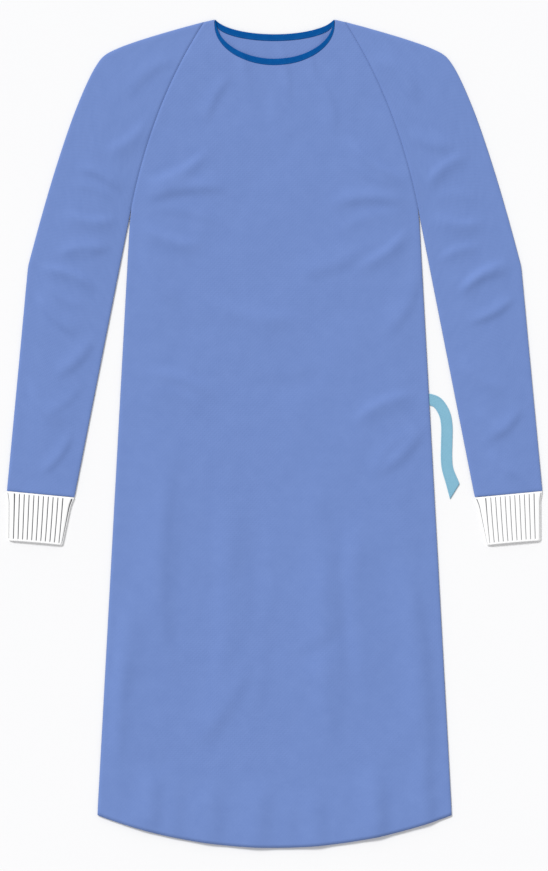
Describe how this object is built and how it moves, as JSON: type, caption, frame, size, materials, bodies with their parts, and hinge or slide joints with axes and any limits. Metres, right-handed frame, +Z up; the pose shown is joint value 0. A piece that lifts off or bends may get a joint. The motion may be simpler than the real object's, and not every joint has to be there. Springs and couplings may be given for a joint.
{
  "type": "surgical gown",
  "caption": "Long-sleeved surgical gown with raglan sleeves, rib-knit cuffs, bound neck and waist ties, lying flat on its back with the front up.",
  "frame": {"origin": "under the middle of the gown, on the surface that it lies on", "axes": "+X towards the wearer's left, +Y towards the neck, +Z up out of the gown's front"},
  "size_m": [0.8402, 1.3, 0.0042],
  "materials": {
    "gown_cloth": "matt blue nonwoven polypropylene",
    "cuff_knit": "white rib knit",
    "binding_tape": "dark blue folded binding tape",
    "tie_cloth": "light blue folded nonwoven strip"
  },
  "bodies": {
    "root": {"front_panel": "gown_cloth", "back_panel_right": "gown_cloth", "back_panel_left": "gown_cloth", "sleeve_right": "gown_cloth", "sleeve_left": "gown_cloth", "cuff_right": "cuff_knit", "cuff_left": "cuff_knit", "neck_binding": "binding_tape", "waist_tie_left": "tie_cloth", "waist_tie_right": "tie_cloth"}
  },
  "joints": []
}
